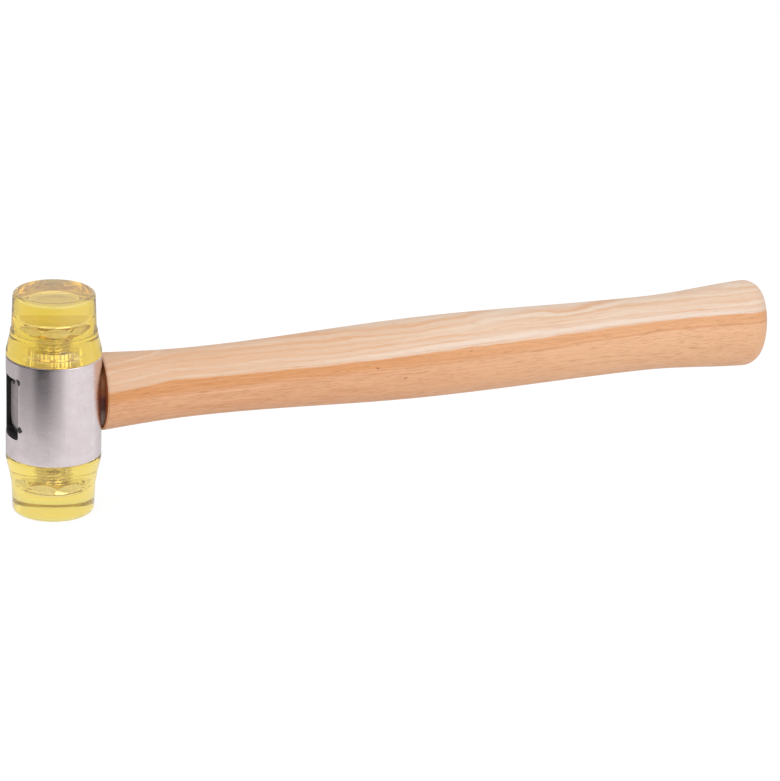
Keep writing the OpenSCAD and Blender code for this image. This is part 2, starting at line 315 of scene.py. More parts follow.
def face_grid(seat, way, face_len):
    """A plastic face turned about Z from its seat.

    The profile runs through recess, foot, cone, collar, striking cylinder and its rounded edge.
    """
    slope = math.degrees(math.atan2(BODY_R - COLLAR_R, COLLAR_Z - FOOT_BAND))
    blend = FOOT_ROUND * math.tan(math.radians(slope) / 2)
    side = math.degrees(math.atan2(NECK_R - STRIKE_R, face_len - COLLAR_Z - COLLAR_H))
    top = COLLAR_Z + COLLAR_H
    profile = np.concatenate([
        [(0, RECESS_H), (RECESS_R, RECESS_H), (RECESS_R, SEAT_GAP)],
        arc((BODY_R - FOOT_EDGE, SEAT_GAP + FOOT_EDGE), FOOT_EDGE, -90, 0, FOOT_EDGE_STEPS),
        arc((BODY_R - FOOT_ROUND, FOOT_BAND - blend), FOOT_ROUND, 0, slope, FOOT_STEPS),
        [(COLLAR_R, COLLAR_Z)],
        arc((COLLAR_R - COLLAR_ROUND, top - COLLAR_ROUND), COLLAR_ROUND, 0, 90, COLLAR_STEPS),
        [(NECK_R, top + COLLAR_FILLET)],
        arc((STRIKE_R - STRIKE_ROUND, face_len - STRIKE_ROUND), STRIKE_ROUND, side, 90, STRIKE_STEPS),
        [(0, face_len)]])
    return revolve(profile * [1, way] + [0, seat])


# Shares of half a pitch, from the middle of the root: the root's flat, and the flank
ROOT_FLAT, FLANK = 0.2, 0.65
# Shares of half a notch's spacing, from the middle of the land: the land, and the notch's side
NOTCH_LAND, NOTCH_SLOPE = 0.4, 0.3


def bolt_grid(seat, way, turn):
    """A bolt on a grid of angle and length: tip, helical thread, knurled collar, hexagon, round flange.

    The thread's radius goes up and down with the length over the pitch less the turn, cut off at
    crest and root. The collar's radius drops at each notch. The head's radius is half the flats over
    the cosine of the angle from a flat, and cones cut its ends lower towards the corners. Zone 1 is
    the cones and the flange's underside and edge, and zone 2 the flange's top.
    """
    columns = 6 * KNURL_NOTCHES
    a = 2 * np.pi * np.arange(columns) / columns
    flat = np.ones(columns)
    below = np.linspace(-THREAD_OUT, KNURL_LOW, BELOW_ROWS)
    above = np.linspace(KNURL_TOP, BOLT_SEAT, ABOVE_ROWS)
    length = np.concatenate([below, above])[:, None]
    phase = (length / BOLT_PITCH - way * a / (2 * np.pi)) % 1
    crest = np.clip((np.abs(phase - 0.5) * 2 - ROOT_FLAT) / FLANK, 0, 1)
    thread = np.minimum(BOLT_R - THREAD_DEPTH * (1 - crest), BOLT_R - BOLT_TIP + length + THREAD_OUT)
    spacing = a * KNURL_NOTCHES / (2 * np.pi) % 1
    notch = np.clip((np.abs(spacing - 0.5) * 2 - NOTCH_LAND) / NOTCH_SLOPE, 0, 1)
    knurl = KNURL_R - NOTCH_DEPTH * notch
    hexagon = BOLT_FLATS / 2 / np.cos(a % (np.pi / 3) - np.pi / 6)
    flange = BOLT_TOP - FLANGE_H
    fall = (flange - BOLT_SEAT - CORNER_H) / 2
    drop = fall * (hexagon - BOLT_TOP_R) / (hexagon.max() - BOLT_TOP_R)
    edge = arc((FLANGE_R - FLANGE_ROUND, BOLT_TOP - FLANGE_ROUND), FLANGE_ROUND, 0, 90, FLANGE_STEPS)
    low, high = thread[:BELOW_ROWS], thread[BELOW_ROWS:]
    r = np.concatenate([[0 * flat], low, [knurl, knurl], high,
                        [BOLT_TOP_R * flat, hexagon, hexagon, BOLT_TOP_R * flat, FLANGE_R * flat],
                        edge[:, :1] * flat, [0 * flat]])
    z = np.concatenate([[-THREAD_OUT * flat], below[:, None] * flat,
                        [KNURL_LOW * flat, KNURL_TOP * flat], above[:, None] * flat,
                        [BOLT_SEAT * flat, BOLT_SEAT + drop, flange - drop, flange * flat, flange * flat],
                        edge[:, 1:] * flat, [BOLT_TOP * flat]])
    zones = np.zeros(len(r) - 1, int)
    zones[-1] = 2
    zones[-len(edge):-1] = 1
    # Counted back from the flange's edge: its underside, the upper cone and the lower cone
    zones[-len(edge) - np.array([2, 3, 5])] = 1
    a = a + math.radians(turn)
    return np.stack([r * np.cos(a), r * np.sin(a), seat + way * z], axis=-1), zones


def handle_grid():
    """The handle from the butt to the tenon's end: oval sections along X, shoulder face, then the tenon.

    Each row is an ellipse y = width / 2 cos t, z = axis + height / 2 sin t, drawn in round the butt's
    edge and at the shoulder's chamfer; the tenon's rows follow the eye's oval. Zone 1 is the shoulder's
    face, zone 2 the tenon, and zone 3 the tenon's end.
    """
    t = 2 * np.pi * np.arange(GRIP_COLUMNS) / GRIP_COLUMNS
    edge = np.radians(np.linspace(90, 0, BUTT_ROWS))
    along = np.linspace(BUTT_X - BUTT_ROUND, SHOULDER_X + SHOULDER_CHAMFER, GRIP_ROWS)[1:]
    x = np.concatenate([[BUTT_X], BUTT_X - BUTT_ROUND * (1 - np.sin(edge)), along, [SHOULDER_X]])
    draw = np.concatenate([[0], BUTT_ROUND * (1 - np.cos(edge)), 0 * along, [SHOULDER_CHAMFER]])
    across = (blend_profile(x, 2) / 2 - draw)[:, None] * np.cos(t)
    high = (blend_profile(x, 1) / 2 - draw)[:, None] * np.sin(t)
    across[0] = high[0] = 0
    grip = np.stack(np.broadcast_arrays(x[:, None], across, GRIP_Z + high), axis=-1)
    turn = np.arctan2(np.sin(t), np.cos(t))
    reach = oval_reach(turn, -TENON_GAP)
    inward = np.concatenate([np.linspace(SHOULDER_X, TENON_END, TENON_ROWS), [TENON_END]])[:, None]
    scale = np.concatenate([np.ones(TENON_ROWS), [0]])[:, None]
    tenon = np.stack(np.broadcast_arrays(inward, scale * reach * np.cos(turn),
                                         EYE_Z + scale * reach * np.sin(turn)), axis=-1)
    rows = np.concatenate([grip, tenon])
    zones = np.zeros(len(rows) - 1, int)
    zones[len(grip) - 1] = 1
    zones[len(grip):] = 2
    zones[-1] = 3
    return rows, zones


# Materials

# The range in which most values of a noise lie
NOISE_LOW, NOISE_HIGH = 0.3, 0.7


def srgb(code):
    """Linear colour of an sRGB hex code."""
    parts = [int(code[i:i + 2], 16) / 255 for i in (1, 3, 5)]
    return [v / 12.92 if v <= 0.04045 else ((v + 0.055) / 1.055) ** 2.4 for v in parts] + [1.0]


def add(tree, kind, inputs=None, ramp=None, **settings):
    """A shader node with its settings; each input takes a value, a hex colour, or an output to link.

    ramp gives the stops of a colour ramp. The node's outputs come back.
    """
    node = tree.nodes.new("ShaderNode" + kind)
    for key, value in settings.items():
        setattr(node, key, value)
    for key, value in (inputs or {}).items():
        if isinstance(value, bpy.types.NodeSocket):
            tree.links.new(value, node.inputs[key])
        else:
            node.inputs[key].default_value = srgb(value) if isinstance(value, str) else value
    if ramp:
        stops = node.color_ramp.elements
        stops.remove(stops[1])
        stops[0].position, stops[0].color = ramp[0]
        for position, colour in ramp[1:]:
            stops.new(position).color = colour
    return node.outputs


def new_material(name, grains=()):
    """An empty node material, its tree, the place in the object's own frame in millimetres, its noises.

    Each grain is a noise from 0 to 1 with stretched cells: cells for each millimetre along X, Y and Z,
    detail, and roughness.
    """
    material = bpy.data.materials.new(name)
    material.use_nodes = True
    tree = material.node_tree
    tree.nodes.clear()
    place = add(tree, "TexCoord")["Object"]
    place = add(tree, "VectorMath", {0: place, "Scale": 1 / MM}, operation="SCALE")[0]
    noises = []
    for cells, detail, rough in grains:
        spot = add(tree, "VectorMath", {0: place, 1: cells}, operation="MULTIPLY")[0]
        noises.append(add(tree, "TexNoise", {"Vector": spot, "Scale": 1.0, "Detail": detail,
                                             "Roughness": rough})[0])
    return material, tree, place, noises


def layered(tree, colour, layers):
    """A colour with others laid over it in turn; a colour is a hex code or an output.

    Each layer gives a value, the range in which it is read, the layer's shares at both ends of that
    range, and its colour. Without shares they are 0 and 1, and without a range the value is the share.
    """
    for value, *ends, over in layers:
        share = add(tree, "MapRange", dict(enumerate([value, *ends])))[0] if ends else value
        colour = add(tree, "Mix", {0: share, 6: colour, 7: over}, data_type="RGBA")[2]
    return colour


def line_along(tree, x, points):
    """A value that runs along x through some points, straight between them."""
    near, far = points[0][0], points[-1][0]
    low, high = min(v for _, v in points), max(v for _, v in points)
    stops = [((at - near) / (far - near), [(v - low) / (high - low)] * 3 + [1]) for at, v in points]
    share = add(tree, "MapRange", {0: x, 1: near, 2: far})[0]
    grey = add(tree, "ValToRGB", {0: share}, stops)[0]
    return add(tree, "MapRange", {0: grey, 3: low, 4: high})[0]


def about_axis(tree, place):
    """The place along X, along Z, and its distance from the head's axis."""
    x, _, z = add(tree, "SeparateXYZ", {0: place})[:3]
    flat = add(tree, "VectorMath", {0: place, 1: (1, 1, 0)}, operation="MULTIPLY")[0]
    return x, z, add(tree, "VectorMath", {0: flat}, operation="LENGTH")["Value"]


# Distances from the tenon's end at which its grey lacquer ends and is full, and the lacquer's colour
COVER_END, COVER_FULL = 0.3, 0.1
COVER_GREY = "#9A8F91"


def end_cover(tree, place):
    """1 at the tenon's end and 0 further in, from the place along X."""
    along = add(tree, "SeparateXYZ", {0: place})[0]
    return add(tree, "MapRange", {0: along, 1: TENON_END + COVER_END, 2: TENON_END + COVER_FULL})[0]


# The dark rim under the upper face is painted shade where the face meets the steel: depths below the body's
# top and under its skin at which it begins and is full, its share, and the stretch along X over which it
# fades to what is left beside the handle
RIM_BEGIN, RIM_FULL = 0.9, 0.4
SKIN_BEGIN, SKIN_FULL = 0.8, 0.4
RIM_SHARE = 0.8
FADE_BEGIN, FADE_END, FADE_LEFT = -7, 4, 0.1
# Where black painted shade of the pocket reaches past its corners, how far from there it ends and is full,
# and how ragged
POCKET_CORNER_SHADES = [(-16.4, -8.5, 37.4), (-16.9, -7.5, 56.4)]
CORNER_SHADE_END, CORNER_SHADE_FULL, CORNER_SHADE_RAGGED = 2.4, 2.1, 2.0


def plated_steel():
    """Turned steel with a satin plating: turning lines, hairlines, cloudy patches and a few scratches.

    Painted shade darkens the rim under the upper face, less beside the handle, and black painted shade runs
    out past the corners of the eye's pocket.
    """
    material, tree, place, (turned, drawn, cloud, nick, ragged) = new_material("plated_steel_turned", [
        ((0.05, 0.05, 9.0), 2.0, 0.55), ((2.4, 2.4, 0.12), 3.0, 0.55), ((0.12, 0.12, 0.16), 4.0, 0.6),
        ((0.22, 0.22, 3.2), 2.0, 0.4), ((1.2, 1.2, 1.2), 3.0, 0.55)])
    x, z, out = about_axis(tree, place)
    # Painted shade on the rim under the upper face, fading beside the handle
    rim = add(tree, "MapRange", {0: z, 1: BODY_TOP - RIM_BEGIN, 2: BODY_TOP - RIM_FULL, 4: RIM_SHARE})[0]
    skin = add(tree, "MapRange", {0: out, 1: BODY_R - SKIN_BEGIN, 2: BODY_R - SKIN_FULL})[0]
    behind = add(tree, "MapRange", {0: x, 1: FADE_BEGIN, 2: FADE_END, 3: 1, 4: FADE_LEFT})[0]
    rim_shade = add(tree, "Math", {0: rim, 1: skin}, operation="MULTIPLY")[0]
    rim_shade = add(tree, "Math", {0: rim_shade, 1: behind}, operation="MULTIPLY")[0]
    # Black painted shade past the pocket's corners
    spots = [add(tree, "VectorMath", {0: place, 1: spot}, operation="DISTANCE")["Value"]
             for spot in POCKET_CORNER_SHADES]
    away = add(tree, "Math", {0: spots[0], 1: spots[1]}, operation="MINIMUM")[0]
    away = add(tree, "Math", {0: ragged, 1: CORNER_SHADE_RAGGED, 2: away}, operation="MULTIPLY_ADD")[0]
    colour = layered(tree, "#D8CBCE", [
        (cloud, NOISE_LOW, NOISE_HIGH, "#E4D9DB"), (drawn, 0.60, 0.75, 0, 0.3, "#A79C9E"),
        (nick, 0.70, 0.76, 0, 0.7, "#F8F4F4"), (nick, 0.24, 0.20, 0, 0.4, "#857A7C"),
        (rim_shade, "#5C5052"), (away, CORNER_SHADE_END, CORNER_SHADE_FULL, "#141011")])
    metal = add(tree, "MapRange", {0: away, 1: CORNER_SHADE_END, 2: CORNER_SHADE_FULL, 3: 1, 4: 0})[0]
    rough = add(tree, "MapRange", {0: cloud, 1: NOISE_LOW, 2: NOISE_HIGH, 3: 0.30, 4: 0.22})[0]
    height = add(tree, "Math", {0: turned, 1: drawn}, operation="ADD")[0]
    bump = add(tree, "Bump", {"Strength": 0.05, "Distance": 0.00006, "Height": height})[0]
    surface = add(tree, "BsdfPrincipled", {"Base Color": colour, "Metallic": metal, "Roughness": rough,
                                           "Normal": bump})[0]
    add(tree, "OutputMaterial", {"Surface": surface})
    return material


def black_eye_shade():
    """Black painted shade on the wall of the eye: half matt, with streaks along the eye."""
    material, tree, _, (brush,) = new_material("black_eye_wall_painted_shade",
                                               [((0.2, 1.6, 1.6), 3.0, 0.55)])
    colour = layered(tree, "#0C0A0A", [(brush, NOISE_LOW, NOISE_HIGH, "#1E1A19")])
    bump = add(tree, "Bump", {"Strength": 0.3, "Distance": 0.0001, "Height": brush})[0]
    surface = add(tree, "BsdfPrincipled", {"Base Color": colour, "Roughness": 0.5, "Normal": bump})[0]
    add(tree, "OutputMaterial", {"Surface": surface})
    return material


ACETATE_IOR = 1.48
# Shares of red, green and blue that the plastic's absorption spares
ACETATE_YELLOW = (0.93, 0.88, 0.02, 1)
# Half of the width over which the rubbed edge begins
EDGE_BLEND = 0.1


def acetate(name, tone, rubbed_tone, density, seat, way, face_len):
    """Clear yellow cellulose plastic: light is absorbed along its path inside.

    tone colours what passes the moulded skin, and rubbed_tone the striking edge, which use has made
    matt and milky. The edge is told from its place: near the far end, and far from the axis. density is
    the absorption for each metre.
    """
    material, tree, place, (flow, scuff) = new_material(name, [
        ((0.10, 0.10, 0.05), 2.0, 0.55), ((0.7, 0.7, 0.7), 4.0, 0.65)])
    _, z, out = about_axis(tree, place)
    along = add(tree, "Math", {0: z, 1: way, 2: -seat * way}, operation="MULTIPLY_ADD")[0]
    round_z, round_r = face_len - STRIKE_ROUND, STRIKE_R - STRIKE_ROUND
    far = add(tree, "MapRange", {0: along, 1: round_z - EDGE_BLEND, 2: round_z + EDGE_BLEND})[0]
    rim = add(tree, "MapRange", {0: out, 1: round_r - EDGE_BLEND, 2: round_r + EDGE_BLEND})[0]
    edge = add(tree, "Math", {0: far, 1: rim}, operation="MULTIPLY")[0]
    smooth = add(tree, "MapRange", {0: scuff, 1: 0.45, 2: 0.8, 3: 0.015, 4: 0.09})[0]
    rough = add(tree, "MapRange", {0: edge, 3: smooth, 4: 0.26})[0]
    clear = add(tree, "MapRange", {0: edge, 3: 0.93, 4: 0.85})[0]
    colour = layered(tree, tone, [(edge, rubbed_tone)])
    bump = add(tree, "Bump", {"Strength": 0.06, "Distance": 0.0004, "Height": flow})[0]
    surface = add(tree, "BsdfPrincipled", {"Base Color": colour, "Roughness": rough, "IOR": ACETATE_IOR,
                                           "Transmission Weight": clear, "Normal": bump})[0]
    volume = add(tree, "VolumeAbsorption", {"Color": ACETATE_YELLOW, "Density": density})[0]
    add(tree, "OutputMaterial", {"Surface": surface, "Volume": volume})
    return material


# How much rougher the dark clouds in the zinc are than the pale ones
ZINC_ROUGHER = 0.08


def bright_zinc(name, pale, dark, smooth, sealed=False):
    """Zinc plating on steel, cloudy between two shades; smooth is the roughness of the pale one.

    Where it is sealed, grey lacquer covers the tenon's end.
    """
    material, tree, place, (cloud,) = new_material(name, [((0.5, 0.5, 0.5), 4.0, 0.6)])
    colour = layered(tree, dark, [(cloud, NOISE_LOW, NOISE_HIGH, pale)])
    if sealed:
        cover = end_cover(tree, place)
        colour = layered(tree, colour, [(cover, COVER_GREY)])
        metal = add(tree, "MapRange", {0: cover, 3: 1, 4: 0})[0]
        rough = add(tree, "MapRange", {0: cover, 3: 0.3, 4: 0.45})[0]
    else:
        metal = 1.0
        rough = add(tree, "MapRange", {0: cloud, 1: NOISE_LOW, 2: NOISE_HIGH, 3: smooth + ZINC_ROUGHER,
                                       4: smooth})[0]
    surface = add(tree, "BsdfPrincipled", {"Base Color": colour, "Metallic": metal,
                                           "Roughness": rough})[0]
    add(tree, "OutputMaterial", {"Surface": surface})
    return material


# The black painted shade along the top and bottom of the tenon's end, under the pocket's walls: how far its
# middle lies under the eye's centre, how ragged it is, and the distances from its middle at which it begins
# and is full
END_SHADE_DROP = 1.3
END_SHADE_RAGGED = 9.0
END_SHADE_BEGIN, END_SHADE_FULL = 12.6, 13.2


def grey_sealer():
    """Grey lacquer over the end grain of the tenon, with ragged black painted shade along its top and
    bottom.
    """
    material, tree, place, (dimple, ragged) = new_material("grey_sealing_lacquer_brushed", [
        ((1.0, 2.2, 2.2), 3.0, 0.55), ((0.6, 0.6, 0.8), 4.0, 0.65)])
    high = add(tree, "SeparateXYZ", {0: place})[2]
    # Black painted shade where the pocket's top and bottom walls shade the tenon's end
    off = add(tree, "Math", {0: high, 1: EYE_Z - END_SHADE_DROP}, operation="SUBTRACT")[0]
    off = add(tree, "Math", {0: off}, operation="ABSOLUTE")[0]
    off = add(tree, "Math", {0: ragged, 1: END_SHADE_RAGGED, 2: off}, operation="MULTIPLY_ADD")[0]
    colour = layered(tree, "#857B7D", [(dimple, NOISE_LOW, NOISE_HIGH, "#A29899"),
                                       (off, END_SHADE_BEGIN, END_SHADE_FULL, "#120D0D")])
    bump = add(tree, "Bump", {"Strength": 0.3, "Distance": 0.0001, "Height": dimple})[0]
    surface = add(tree, "BsdfPrincipled", {"Base Color": colour, "Roughness": 0.4, "Normal": bump})[0]
    add(tree, "OutputMaterial", {"Surface": surface})
    return material


def beech_wedge():
    """Beech with short ray flecks, and grey lacquer on the end that shows."""
    material, tree, place, (fleck,) = new_material("beech_sawn", [((0.5, 3.0, 3.0), 2.0, 0.55)])
    colour = layered(tree, "#CFA27A", [(fleck, 0.35, 0.7, "#A87850"),
                                       (end_cover(tree, place), COVER_GREY)])
    surface = add(tree, "BsdfPrincipled", {"Base Color": colour, "Roughness": 0.5})[0]
    add(tree, "OutputMaterial", {"Surface": surface})
    return material


# Distance between growth lines in the pale wood, and how uneven it is, in radians of their wave
GROWTH_LINE = 2.3
UNEVEN = 1.5
# How much the growth rings lean, as height for each millimetre across the handle
RING_LEAN = 0.12
# Upper and lower edge of the dark ring: distance from the head's axis, height over the grip's axis
RING_TOP = [(18, 1.2), (45, 3.8), (110, 3.2), (160, 4.5), (242, 6.7), (270, 7.3), (306, 6.7)]
RING_FOOT = [(18, -3.3), (45, -1.8), (155, -0.4), (200, 0.7), (260, 3.4), (306, 2.7)]
# How far the ring's edges shiver and the growth lines sway, and the height at which they sway in full
SHIVER = 0.8
SWAY = 2.4
SWAY_HEIGHT = 8
# Cells for each millimetre across the rings, along X and along Y: the figure, and how strongly lines show
FIGURE_CELLS = (0.55, 0.007, 0.03)
PATCH_CELLS = (0.3, 0.02, 0.05)
# Stretches along X over which the wood changes towards the butt: the pale wood, the painted highlight
# beside the ring, the tan wood, the ring, and the line under the ring
PALE_STRETCH = (60, 190)
HIGHLIGHT_STRETCH = (90, 170)
TAN_STRETCH = (120, 220)
RING_STRETCH = (120, 200)
LINE_STRETCH = (150, 230)


def ash_grain():
    """Lacquered ash cut along the grain: an orange ring, pale figured wood above it, pored tan below.

    The ring's coordinate is the height over the grip's axis, leaning with Y. Growth lines in the pale
    wood follow a noise of the height over the ring, which wanders more the further it is from the ring.
    """
    material, tree, place, (shiver, sway, fibre, pores, speck) = new_material("ash_lacquered", [
        ((0.06, 0.5, 0.5), 4.0, 0.55), ((0.016, 0.04, 0.04), 2.0, 0.55), ((0.02, 1.6, 1.6), 4.0, 0.6),
        ((0.18, 3.6, 3.6), 2.0, 0.5), ((0.16, 0.55, 0.55), 1.0, 0.55)])
    x, y, z = add(tree, "SeparateXYZ", {0: place})[:3]
    lean = add(tree, "Math", {0: y, 1: RING_LEAN, 2: z}, operation="MULTIPLY_ADD")[0]
    ring = add(tree, "Math", {0: lean, 1: GRIP_Z}, operation="SUBTRACT")[0]
    shiver = add(tree, "MapRange", {0: shiver, 3: -SHIVER, 4: SHIVER})[0]
    ring = add(tree, "Math", {0: ring, 1: shiver}, operation="ADD")[0]
    over = add(tree, "Math", {0: ring, 1: line_along(tree, x, RING_TOP)}, operation="SUBTRACT")[0]
    under = add(tree, "Math", {0: line_along(tree, x, RING_FOOT), 1: ring}, operation="SUBTRACT")[0]

    sway = add(tree, "MapRange", {0: sway, 1: 0.2, 2: 0.8, 3: -SWAY, 4: SWAY})[0]
    freedom = add(tree, "MapRange", {0: over, 1: 0, 2: SWAY_HEIGHT})[0]
    grain = add(tree, "Math", {0: sway, 1: freedom, 2: over}, operation="MULTIPLY_ADD")[0]
    lines = add(tree, "CombineXYZ", {0: grain, 1: x, 2: y})[0]
    spot = add(tree, "VectorMath", {0: lines, 1: FIGURE_CELLS}, operation="MULTIPLY")[0]
    figure = add(tree, "TexNoise", {"Vector": spot, "Scale": 1.0, "Detail": 4.0, "Roughness": 0.6})[0]
    spot = add(tree, "VectorMath", {0: lines, 1: PATCH_CELLS}, operation="MULTIPLY")[0]
    patch = add(tree, "TexNoise", {"Vector": spot, "Scale": 1.0, "Detail": 2.0, "Roughness": 0.55})[0]
    uneven = add(tree, "MapRange", {0: figure, 1: 0.2, 2: 0.8, 3: -UNEVEN, 4: UNEVEN})[0]
    phase = add(tree, "Math", {0: grain, 1: 2 * math.pi / GROWTH_LINE, 2: uneven},
                operation="MULTIPLY_ADD")[0]
    line = add(tree, "Math", {0: phase}, operation="SINE", use_clamp=True)[0]
    strength = add(tree, "MapRange", {0: patch, 1: 0.35, 2: 0.65, 3: 0.05, 4: 0.75})[0]
    late = add(tree, "Math", {0: line, 1: strength}, operation="MULTIPLY")[0]
    # A painted highlight on the pale wood just above the ring, growing towards the butt
    beside = add(tree, "MapRange", {0: over, 1: 5, 2: 1, 3: 0, 4: 0.7})[0]
    outward = add(tree, "MapRange", {0: x, 1: HIGHLIGHT_STRETCH[0], 2: HIGHLIGHT_STRETCH[1]})[0]
    bright = add(tree, "Math", {0: beside, 1: outward}, operation="MULTIPLY")[0]
    pale = layered(tree, "#D7B294", [
        (x, *PALE_STRETCH, "#E0C8B2"), (bright, "#E0CEC0"), (figure, 0.48, 0.68, 0, 0.5, "#D09A70"),
        (figure, 0.44, 0.30, 0, 0.5, "#EDD5BD"), (late, "#D6A279")])

    tan = layered(tree, "#D2976E", [(fibre, NOISE_LOW, NOISE_HIGH, "#E3B088"),
                                    (x, *TAN_STRETCH, 0, 0.4, "#E8BD97")])
    dark = layered(tree, "#C98852", [(fibre, NOISE_LOW, NOISE_HIGH, "#DA9D6C"),
                                     (x, *RING_STRETCH, 0, 0.35, "#E4B48C")])
    off = add(tree, "Math", {0: under}, operation="ABSOLUTE")[0]
    edge = add(tree, "MapRange", {0: off, 1: 0.7, 2: 0.1})[0]
    outward = add(tree, "MapRange", {0: x, 1: LINE_STRETCH[0], 2: LINE_STRETCH[1], 3: 0.1, 4: 0.5})[0]
    edge = add(tree, "Math", {0: edge, 1: outward}, operation="MULTIPLY")[0]
    pit = add(tree, "MapRange", {0: pores, 1: 0.54, 2: 0.68})[0]
    porous = add(tree, "MapRange", {0: over, 1: 1.0, 2: -2.0, 3: 0.15, 4: 0.45})[0]
    pit = add(tree, "Math", {0: pit, 1: porous}, operation="MULTIPLY")[0]
    speck = add(tree, "MapRange", {0: speck, 1: 0.755, 2: 0.80, 3: 0, 4: 0.8})[0]
    lower = add(tree, "MapRange", {0: over, 1: 2.5, 2: -0.5, 3: 0.15, 4: 1})[0]
    speck = add(tree, "Math", {0: speck, 1: lower}, operation="MULTIPLY")[0]
    colour = layered(tree, dark, [
        (under, -1.6, 0.6, tan), (edge, "#C67F48"), (over, -0.25, 0.35, pale), (pit, "#A86C40"),
        (speck, "#7A4526")])
    rough = add(tree, "MapRange", {0: pores, 1: 0.4, 2: 0.7, 3: 0.42, 4: 0.6})[0]
    bump = add(tree, "Bump", {"Strength": 0.12, "Distance": 0.0001, "Height": pit}, invert=True)[0]
    surface = add(tree, "BsdfPrincipled", {"Base Color": colour, "Roughness": rough,
                                           "Specular IOR Level": 0.35, "Normal": bump})[0]
    add(tree, "OutputMaterial", {"Surface": surface})
    return material


def ash_stain_and_shade(name, shades):
    """Mottled ash; shades are its colours at heights over the eye's centre, stain with painted light and
    shade.
    """
    material, tree, place, (soak,) = new_material(name, [((0.8, 1.1, 1.1), 4.0, 0.6)])
    high = add(tree, "SeparateXYZ", {0: place})[2]
    near, far = shades[0][0], shades[-1][0]
    share = add(tree, "MapRange", {0: high, 1: EYE_Z + near, 2: EYE_Z + far})[0]
    stops = [((at - near) / (far - near), srgb(code)) for at, code in shades]
    colour = add(tree, "ValToRGB", {0: share}, stops)[0]
    colour = layered(tree, colour, [(soak, 0.35, 0.7, 0, 0.3, "#2A120A")])
    bump = add(tree, "Bump", {"Strength": 0.2, "Distance": 0.0001, "Height": soak})[0]
    surface = add(tree, "BsdfPrincipled", {"Base Color": colour, "Roughness": 0.5, "Normal": bump})[0]
    add(tree, "OutputMaterial", {"Surface": surface})
    return material


# Pieces

grids, strips = body_grids()
end_steel = bright_zinc("bright_steel_faced", "#F6F2EA", "#E8E2D8", 0.12)
head = solid("head_body_turned", grids, [plated_steel(), black_eye_shade(), end_steel], strips)
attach(head, "head")
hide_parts("head_body")

# Shades of the shoulder's face and of the tenon, at heights over the eye's centre. The shoulder's dark end
# grain is darker in its middle as painted shade; the tenon's are painted light at the top, painted shade in
# the middle and a grey painted reflection of the steel at the bottom
SHOULDER_SHADES = [(-14, "#BC6C30"), (0, "#A4521E"), (17, "#B67640")]
TENON_SHADES = [(-12, "#7A6A62"), (-5, "#6E5A50"), (-3, "#4A1C10"), (1, "#521A0C"), (3, "#84491C"),
                (12, "#9A6030")]
rows, strips = handle_grid()
woods = [ash_grain(), ash_stain_and_shade("ash_end_grain_stain_and_shade", SHOULDER_SHADES),
         ash_stain_and_shade("ash_tenon_painted_shade", TENON_SHADES), grey_sealer()]
grip = solid("handle_turned", [rows], woods, [strips])
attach(grip, "head")
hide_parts("handle")

# Plastic of each face: tone of its skin and of its striking edge, and absorption inside. The lower face is
# paler and absorbs less, painted light for the brighter light it gets from the floor
PLASTICS = {"upper": ("#FCE6BE", "#FEF4DC", 60.0), "lower": ("#FFECBE", "#FEF8E4", 40.0)}
# Name, seat, direction, length of the face, and turn of the bolt's hexagon in degrees
FACES = [("upper", BODY_TOP, 1, 25.2, -12.0), ("lower", BODY_LOW, -1, 23.8, 21.0)]
# Bend in degrees from which a bolt's edges are sharp
BOLT_SHARP = 25.0
bolt_zincs = [bright_zinc("bright_zinc_rolled_thread", "#F0ECE2", "#DCD6C8", 0.1),
              bright_zinc("bright_zinc_polished_edge", "#FFFFFF", "#FAF8F2", 0.04),
              bright_zinc("bright_zinc_pressed_top", "#EEE6D4", "#DED6C4", 0.05)]
for which, seat, way, length, turn in FACES:
    plastic = acetate("yellow_acetate_moulded_" + which, *PLASTICS[which], seat, way, length)
    cap = solid(which + "_face_moulded", [face_grid(seat, way, length)], [plastic])
    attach(cap, which + "_face")
    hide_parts(which + "_face")
    rows, strips = bolt_grid(seat, way, turn)
    bolt = solid(which + "_bolt_threaded", [rows], bolt_zincs, [strips], BOLT_SHARP)
    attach(bolt, which + "_face")
    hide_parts(which + "_bolt")

# CAD nodes that keep their own shape
ring_zinc = bright_zinc("bright_zinc_stamped", "#F4F2EE", "#E6E3DC", 0.1)
wedge_zinc = bright_zinc("zinc_wedge_sealed", "#F4F2EE", "#E6E3DC", 0.1, True)
kept = {"upper_lock_ring": ring_zinc, "lower_lock_ring": ring_zinc,
        "steel_wedge": wedge_zinc, "wood_wedge": beech_wedge()}
for name, material in kept.items():
    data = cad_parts[name].data
    for k in range(len(data.materials)):
        data.materials[k] = material


# Stage, light and camera

FLOOR_SIZE = 12.0
# Height of the floor under the lower face, in metres
FLOOR_Z = -0.0001
# What the camera sees of the floor: its own glow, and the share of the light that falls on it
FLOOR_GLOW = 0.89
FLOOR_SHADE = 0.16
# Share of the light that the floor sends back to the pieces
FLOOR_WHITE = 0.8
# Brightness of the room as a light
ROOM_LEVEL = 0.67
# The darker side of the room, as metal and plastic show it: direction, cosines of its outer and inner half
# width, and depth
DARK_WAY = (-0.36, -0.86, 0.36)
DARK_OUTER, DARK_INNER, DARK_DEPTH = 0.3, 0.95, 0.1
